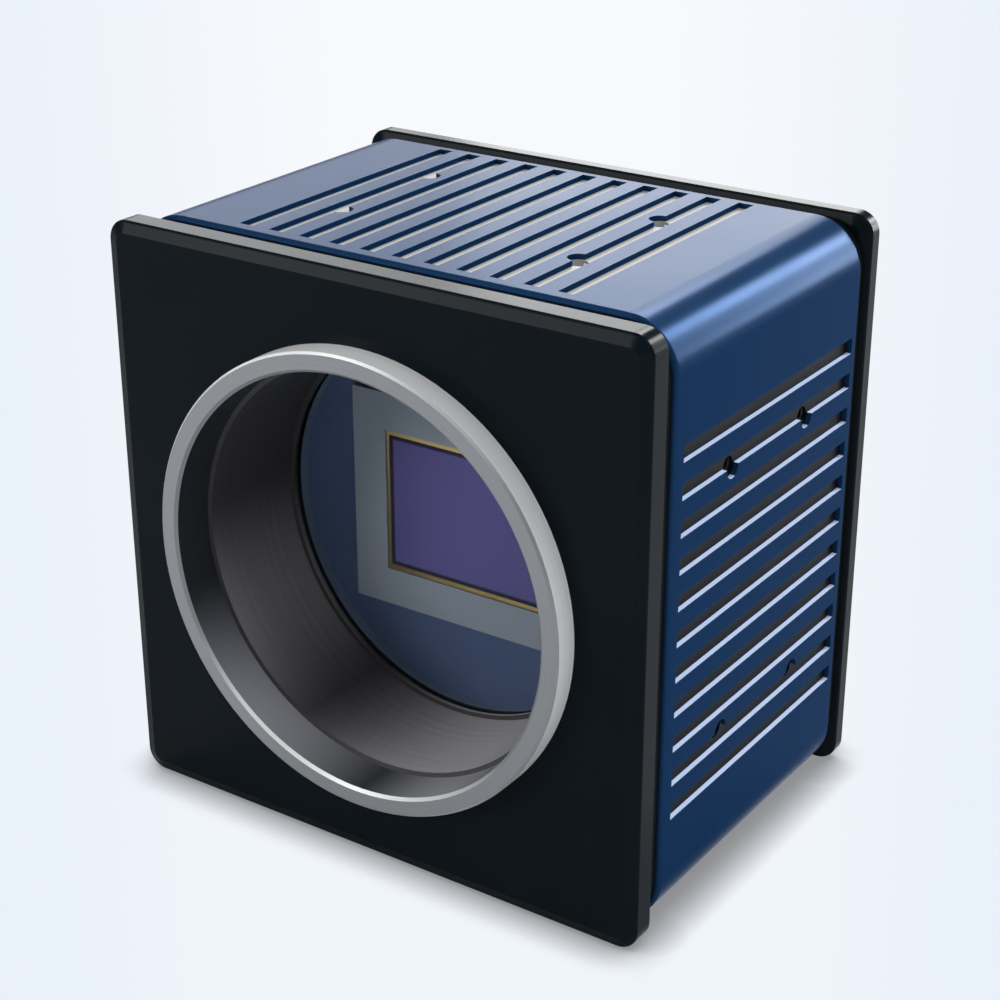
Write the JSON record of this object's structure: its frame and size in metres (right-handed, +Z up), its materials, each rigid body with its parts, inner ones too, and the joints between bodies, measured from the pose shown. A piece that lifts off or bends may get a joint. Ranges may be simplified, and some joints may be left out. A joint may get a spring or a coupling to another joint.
{
  "type": "machine vision camera",
  "caption": "Square machine vision camera body with a slotted blue sleeve between black end plates, a bright round lens mount and an exposed image sensor behind tinted glass.",
  "frame": {"origin": "centre of the lens mount's front face, on the optical axis", "axes": "+Y back along the optical axis, +Z up, +X to the right as one faces the lens mount"},
  "size_m": [0.0814, 0.0704, 0.0814],
  "materials": {
    "black_anodised": "satin black anodised aluminium",
    "blue_anodised": "satin blue anodised aluminium",
    "bright_ring": "fine turned bright metal",
    "black_bore": "matt black anodised aluminium",
    "window_glass": "blue-tinted filter glass",
    "clear_glass": "clear glass",
    "seal_rubber": "grey silicone rubber",
    "grey_frame": "grey conversion-coated aluminium",
    "circuit_board": "dark blue solder mask",
    "ceramic": "grey alumina ceramic",
    "gold": "gold plate",
    "silicon": "polished silicon with a violet sheen",
    "steel_hardware": "plain steel",
    "black_hardware": "black oxide steel",
    "thermal_pad": "soft grey-blue heat pad",
    "chip_plastic": "black moulding compound",
    "connector_plastic": "black moulded plastic",
    "nickel": "nickel plate",
    "insulator": "white fluoropolymer",
    "light_plastic": "clear light pipe"
  },
  "bodies": {
    "root": {"front_plate": "black_anodised", "back_plate": "black_anodised", "inner_chassis": "black_anodised", "body_sleeve": "blue_anodised", "lens_mount_ring": "bright_ring", "mount_barrel": "black_bore", "filter_retaining_ring": "black_bore", "filter_window": "window_glass", "filter_seal": "seal_rubber", "sensor_frame": "grey_frame", "sensor_board": "circuit_board", "processing_board": "circuit_board", "interface_board": "circuit_board", "sensor_package": "ceramic", "sensor_bond_frame": "gold", "sensor_die": "silicon", "sensor_cover_glass": "clear_glass", "sensor_posts": "steel_hardware", "sensor_screws": "steel_hardware", "board_screws": "steel_hardware", "front_spacers": "steel_hardware", "rear_spacers": "steel_hardware", "tie_screws": "black_hardware", "sensor_thermal_pad": "thermal_pad", "processor_thermal_pad": "thermal_pad", "processor_chip": "chip_plastic", "memory_chips": "chip_plastic", "power_module": "chip_plastic", "sensor_link_plug": "connector_plastic", "sensor_link_socket": "connector_plastic", "board_link_plug": "connector_plastic", "board_link_socket": "connector_plastic", "status_led": "light_plastic", "status_light_pipe": "light_plastic", "power_connector_shell": "nickel", "power_connector_nut": "nickel", "power_connector_insert": "connector_plastic", "power_connector_pins": "gold", "coax_jack_1": "nickel", "coax_insulator_1": "insulator", "coax_pin_1": "gold", "coax_jack_2": "nickel", "coax_insulator_2": "insulator", "coax_pin_2": "gold", "coax_jack_3": "nickel", "coax_insulator_3": "insulator", "coax_pin_3": "gold", "coax_jack_4": "nickel", "coax_insulator_4": "insulator", "coax_pin_4": "gold"}
  },
  "joints": []
}
